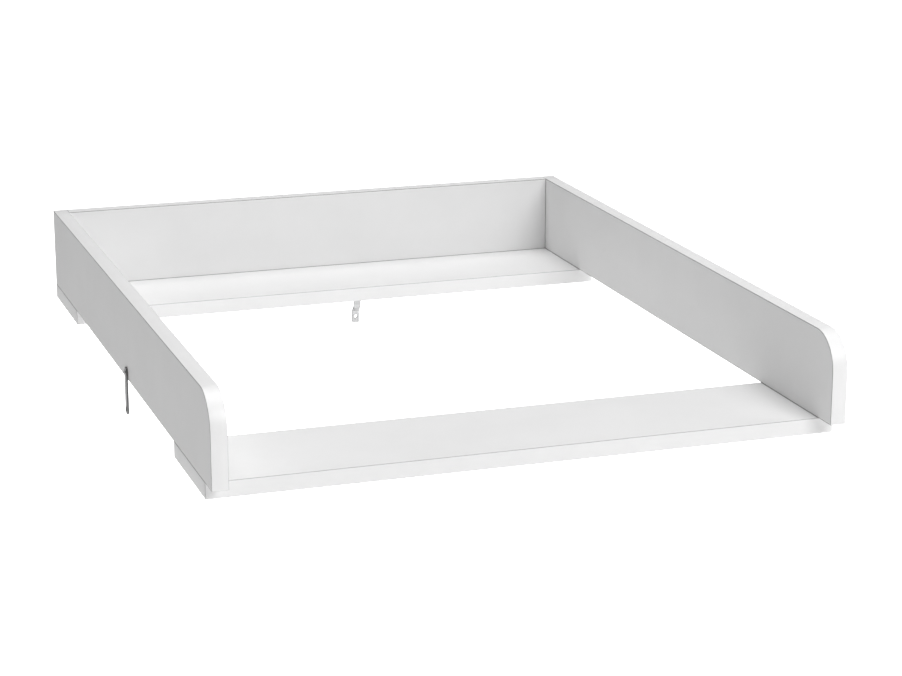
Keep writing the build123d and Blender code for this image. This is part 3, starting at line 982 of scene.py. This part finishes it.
@dataclass
class Strap:
    """A steel strap with a hole near each end.

    It is made flat: each end is a grid from its hole's wall out to the outline and round the rounded edge,
    and a strip of the same section joins the two ends.
    """

    width: float  # across the strap
    corner: float = 5.0 * MM  # radius of its corners, up to half its width
    lower_end: float = 6.0 * MM  # from the lower hole's centre to the lower end
    upper_end: float = 6.0 * MM  # from the upper hole's centre to the upper end
    edge: float = 0.28 * MM
    to_split: float = 5.5 * MM  # from a hole's centre to where the plain strip starts
    across: int = 9  # points across it
    along: int = 7  # points along the straight side of an end
    turn: int = 15  # points round one corner

    def edge_rows(self) -> list[tuple[float, float]]:
        """Inset and height of the rows from the outer face, over the edge, to the inner face."""
        arc = np.linspace(0, QUARTER, 5)
        inset, drop = self.edge * (1 - np.sin(arc)), self.edge * (1 - np.cos(arc))
        return [*zip(inset, STRAP_THICKNESS - drop), *zip(inset[::-1], drop[::-1])]

    def outline(self, inset: float, end: float) -> Array:
        """An end's outline, from the split line round the end and back. The hole's centre is at zero.

        Args:
            inset: How far inside the strap's edge it runs. The split line doesn't move.
            end: From the hole's centre to the end.

        Returns:
            Points across and along the strap.
        """
        half = self.width / 2 - inset
        radius = min(self.corner, self.width / 2)
        reach = self.width / 2 - radius
        split = pairs(np.linspace(-half, half, self.across), -self.to_split)
        side = pairs(half, np.linspace(-self.to_split, end - radius, self.along)[1:-1])
        right = (reach, end - radius) + (radius - inset) * circle(np.linspace(0, QUARTER, self.turn))
        flat = np.linspace(reach, -reach, 5)[1:-1] if reach > 0.1 * MM else np.zeros(0)
        top = pairs(flat, end - inset)
        mirror = (-1, 1)
        return np.concatenate([split, side, right, top, right[::-1] * mirror, side[::-1] * mirror])

    def end(self, end: float, hole: Hole) -> Shell:
        """One end as a grid: the hole's wall, its countersink, the outer face, the edge and the inner face.

        Args:
            end: From the hole's centre to the end.
            hole: The hole.

        Returns:
            The open end, hole at zero, outer face at the strap's thickness.
        """
        outer = self.outline(0.0, end)
        ray = circle(np.arctan2(outer[:, 1], outer[:, 0]))
        rows = [(hole.radius * ray, 0.12 * MM), (hole.radius * ray, STRAP_THICKNESS - hole.sink_depth)]
        if hole.sink_depth > 0:
            rows.append(((hole.sink - 0.03 * MM) * ray, STRAP_THICKNESS - 0.03 * MM))
        walls = len(rows)
        first = self.outline(self.edge, end)
        rim, low_rim = (hole.sink + 0.1 * MM) * ray, (hole.radius + 0.12 * MM) * ray
        rows += [(rim, STRAP_THICKNESS), (rim + 0.5 * (first - rim), STRAP_THICKNESS)]
        rows += [(self.outline(inset, end), height) for inset, height in self.edge_rows()]
        rows += [(low_rim + 0.5 * (first - low_rim), 0.0), (low_rim, 0.0)]
        rings = np.stack([np.insert(flat, 2, height, axis=1) for flat, height in rows])
        # painted shade on the hole's wall and countersink and on the strap's rounded edge
        outside = [float(inset < 0.7 * self.edge) for inset, _ in self.edge_rows()]
        edge = [1.0] * walls + [0.0] * 2 + outside + [0.0] * 2
        count, cols = rings.shape[:2]
        number = np.arange(count * cols).reshape(count, cols)
        right, below = np.roll(number, -1, axis=1), np.roll(number, -1, axis=0)
        quads = np.stack([number, right, np.roll(below, -1, axis=1), below], axis=-1).reshape(-1, 4)
        points = rings.reshape(-1, 3)
        inside_split = np.all(np.abs(points[quads][:, :, 1] + self.to_split) < 1e-9, axis=1)
        return Shell(points, quads[~inside_split].tolist(), np.zeros(len(points)), np.repeat(edge, cols))

    def section(self) -> Array:
        """The strap's section: the outer face, one edge, the inner face and the other edge."""
        edge = np.array([(self.width / 2 - inset, height) for inset, height in self.edge_rows()])
        face = np.linspace(-edge[0, 0], edge[0, 0], self.across)
        outer, inner = pairs(face, STRAP_THICKNESS), pairs(face[::-1], 0.0)
        return np.concatenate([outer, edge[1:-1], inner, edge[1:-1][::-1] * (-1, 1)])

    def flat(self, spacing: float, upper_hole: Hole, lower_hole: Hole) -> Shell:
        """The whole strap laid flat: upper hole at zero, lower hole at -spacing along the second axis.

        Args:
            spacing: Between the holes' centres.
            upper_hole: The upper hole.
            lower_hole: The lower hole.

        Returns:
            The flat strap.
        """
        upper = self.end(self.upper_end, upper_hole)
        lower = self.end(self.lower_end, lower_hole)
        lower.points = lower.points * (1, -1, 1) - (0, spacing, 0)
        section = self.section()
        steps = np.linspace(-self.to_split, -spacing + self.to_split, 48)
        rings = np.stack([np.insert(section, 1, y, axis=1) for y in steps])
        # painted shade along the strap's rounded edges
        edge = (np.abs(section[:, 0]) > self.width / 2 - 0.7 * self.edge).astype(float)
        return Shell.of([upper, lower, closed_rings(rings, edge=edge, caps=False)])


@dataclass
class Straps:
    """The two fixing straps and the screws that they turn on."""

    side_finish: Metal
    wall_finish: Metal
    screw_finish: Metal
    swivel: Hole = Hole(2.07 * MM, 2.07 * MM)  # the upper holes, round the screws
    gap: float = 0.1 * MM  # between a strap and the things on both its sides
    bend: float = math.pi / 4  # angle of the wall strap's bends
    bend_radius: float = 3.0 * MM  # their radius in the middle of the thickness
    foot: float = 15.0 * MM  # length of the wall strap's lower end, after the bends
    step: float = 8.0 * MM  # how far it steps back to the wall

    def pivot(self, joint: str) -> Array:
        """A joint's place."""
        return next(np.array(item["pos_m"], float) for item in frame["joints"] if item["name"] == joint)

    def side_strap(self) -> None:
        """Builds the flat strap on the left panel."""
        low, high = span("side_strap")
        _, y, z = self.pivot("side_strap_swivel")
        strap = Strap(high[1] - low[1])
        shell = strap.flat(z - low[2] - strap.lower_end, self.swivel, Hole(STRAP_HOLE, 3.1 * MM, 0.8 * MM))
        across, along, height = shell.points.T
        shell.points = np.column_stack([high[0] - height, y + across, z + along])
        add_piece("rolled", "side_strap", shell, self.side_finish.build(), "side_strap")

    def bent(self, along: Array, height: Array, straight: float) -> tuple[Array, Array]:
        """Carries a flat strap's points along a middle line with two bends.

        The middle line goes straight down, turns back on an arc, runs on and turns down again.
        A point's place is the middle line at its own distance, plus its height along the line's normal.

        Args:
            along: Distance down from the upper hole.
            height: Height over the middle line.
            straight: Where the middle line's sharp corner would be, down from the upper hole.

        Returns:
            Distance back and distance down for each point.
        """
        trim = self.bend_radius * math.tan(self.bend / 2)
        arc = self.bend_radius * self.bend
        run = self.step / math.sin(self.bend) - 2 * trim
        first = straight - trim
        marks = [first, first + arc, first + arc + run, first + 2 * arc + run]
        slopes = [0.0, self.bend, self.bend, 0.0]
        fine = np.linspace(float(along.min()), float(along.max()), 4000)
        fine_tilt = np.interp(fine, marks, slopes)
        middle_tilt = (fine_tilt[1:] + fine_tilt[:-1]) / 2
        gap = fine[1] - fine[0]
        back = np.concatenate([[0.0], np.cumsum(np.sin(middle_tilt) * gap)])
        down = fine[0] + np.concatenate([[0.0], np.cumsum(np.cos(middle_tilt) * gap)])
        tilt = np.interp(along, marks, slopes)
        line_back, line_down = np.interp(along, fine, back), np.interp(along, fine, down)
        return line_back + height * np.cos(tilt), line_down - height * np.sin(tilt)

    def wall_strap(self) -> None:
        """Builds the strap behind the back panel, with its step back to the wall."""
        low, high = span("wall_strap")
        x, _, z = self.pivot("wall_strap_swivel")
        strap = Strap(high[0] - low[0], corner=1.5 * MM, lower_end=8.0 * MM)
        drop = z - low[2] - strap.lower_end
        trim = self.bend_radius * math.tan(self.bend / 2)
        saved = 2 * (2 * trim - self.bend_radius * self.bend)
        flat_drop = drop - self.step + self.step / math.sin(self.bend) - saved
        shell = strap.flat(flat_drop, self.swivel, Hole(STRAP_HOLE, STRAP_HOLE))
        across, along, height = shell.points.T
        straight = drop + strap.lower_end - self.foot - self.step
        back, down = self.bent(-along, height - STRAP_THICKNESS / 2, straight)
        shell.points = np.column_stack([x + across, low[1] + STRAP_THICKNESS / 2 + back, z - down])
        add_piece("rolled", "wall_strap", shell, self.wall_finish.build(), "wall_strap")

    def screws(self) -> None:
        """Builds the two small screws, each from its outer end inward."""
        material = self.screw_finish.build()
        screw = PanScrew()
        plain = STRAP_THICKNESS + 2 * self.gap + 2.0 * MM
        for node, direction, across in (
            ("side_strap_screw", (1, 0, 0), (0, 0, 1)),
            ("wall_strap_screw", (0, -1, 0), (0.5, 0, 1)),
        ):
            low, high = span(node)
            inward = np.array(direction, float)
            outer_end = np.where(inward > 0, low, np.where(inward < 0, high, (low + high) / 2))
            length = (high - low)[int(np.argmax(np.abs(inward)))] - screw.height
            shell = screw.shell(plain, length).placed(outer_end + inward * screw.height, inward, across)
            add_piece("cross", node, shell, material)

    def build(self) -> None:
        """Builds the straps and their screws."""
        self.side_strap()
        self.wall_strap()
        self.screws()


# ---- studio


@dataclass
class Studio:
    """A white floor and backdrop, soft lights and the camera."""

    floor_drop: float = 0.62  # how far the floor lies below the origin
    floor_reach: float = 40.0
    sky: float = 0.213  # strength of the even light from all round
    floor_glow: float = 0.286  # the floor's own light
    key: float = 60.0  # power of the large light in front and above
    top: float = 92.0  # power of the light overhead
    right: float = 34.0  # power of the light on the right
    aim: Triple = (0.0, 0.3, 0.05)  # the point that the lights face
    camera_place: Triple = (-0.7805, -2.1367, 0.7391)
    camera_yaw: float = 18.665  # how far it turns to the right, in degrees
    camera_pitch: float = 15.538  # how far it tilts down, in degrees
    lens: float = 98.54
    sensor: float = 36.0

    def floor(self) -> None:
        """Lays the floor."""
        mesh = bpy.data.meshes.new("floor")
        reach, drop = self.floor_reach, -self.floor_drop
        corners = [(-reach, -reach, drop), (reach, -reach, drop), (reach, reach, drop), (-reach, reach, drop)]
        mesh.from_pydata(corners, [], [(0, 1, 2, 3)])
        paint = Paint("pale_floor")
        tree, inputs = paint.tree, paint.shader.inputs
        colour = paint.mottled(paint.speckle(60.0, 2.0), 0.91, 0.01)
        seen = tree.add("LightPath").outputs["Is Camera Ray"]
        glow = tree.ramp(seen, 0.0, 1.0, self.floor_glow, WHITE_BACKDROP)
        tree.feed(paint.shader, {"Base Color": colour, "Emission Strength": glow})
        inputs["Roughness"].default_value = 0.9
        inputs["Specular IOR Level"].default_value = 0.0
        inputs["Emission Color"].default_value = grey(1.0)
        mesh.materials.append(paint.material)
        put("floor", mesh)

    def lamp(self, name: str, place: Triple, size: float, power: float) -> None:
        """Hangs a square light that faces the middle of the frame."""
        light = bpy.data.lights.new(name, "AREA")
        light.energy = power
        light.size = size
        holder = put(name, light)
        holder.location = place
        holder.rotation_euler = (Vector(self.aim) - Vector(place)).to_track_quat("-Z", "Y").to_euler()

    def world(self) -> None:
        """Sets the even light, with a white backdrop for the camera."""
        world = bpy.data.worlds.new("studio")
        world.use_nodes = True
        world.node_tree.nodes.clear()
        tree = Tree(world.node_tree)
        light = tree.add("Background", {"Color": grey(1.0), "Strength": self.sky})
        seen = tree.add("Background", {"Color": grey(1.0), "Strength": WHITE_BACKDROP})
        camera = tree.add("LightPath").outputs["Is Camera Ray"]
        mixed = tree.add("MixShader", {0: camera, 1: light.outputs[0], 2: seen.outputs[0]})
        tree.add("OutputWorld", {0: mixed.outputs[0]})
        bpy.context.scene.world = world

    def camera(self) -> None:
        """Places the camera."""
        data = bpy.data.cameras.new("camera")
        data.lens = self.lens
        data.sensor_width = self.sensor
        data.clip_end = 200.0
        camera = put("camera", data)
        camera.location = self.camera_place
        camera.rotation_euler = (math.radians(90 - self.camera_pitch), 0.0, -math.radians(self.camera_yaw))
        bpy.context.scene.camera = camera

    def build(self) -> None:
        """Builds the studio."""
        self.floor()
        self.world()
        self.lamp("key_light", (1.1, -2.7, 2.2), 1.7, self.key)
        self.lamp("top_light", (0.0, 0.6, 4.0), 3.0, self.top)
        self.lamp("right_light", (4.5, -0.6, 3.0), 2.5, self.right)
        self.camera()
        settings = bpy.context.scene.view_settings
        settings.view_transform = "Standard"
        settings.look = "None"


def main() -> None:
    """Builds the studio, then every sub-assembly in order."""
    logging.basicConfig(level=logging.INFO, format="%(message)s")
    Studio().build()
    Boards().build()
    Bands().build()
    BoardScrews(Metal("zinc_screws", 0.62, 0.32, (1.0, 1.0, 8.0))).build()
    Dowels().build()
    CamFittings(
        Metal("zinc_bolts", 0.62, 0.32, (8.0, 1.0, 1.0)),
        Metal("cast_zinc", 0.48, 0.48, (1.0, 1.0, 1.0), 900.0),
    ).build()
    # The two straps are one zinc-plated steel: the side strap's darker tone is painted shade and the wall
    # strap's lighter tone is painted light
    Straps(
        Metal("steel_strap_painted_shade", 0.44, 0.36, (1.0, 1.0, 0.04), cloud=0.05),
        Metal("steel_strap_painted_lit", 0.74, 0.40, (1.0, 1.0, 0.04), cloud=0.05, edge_shade=0.30),
        Metal("zinc_small_screws", 0.66, 0.28, (1.0, 8.0, 1.0)),
    ).build()


if __name__ == "__main__":
    main()
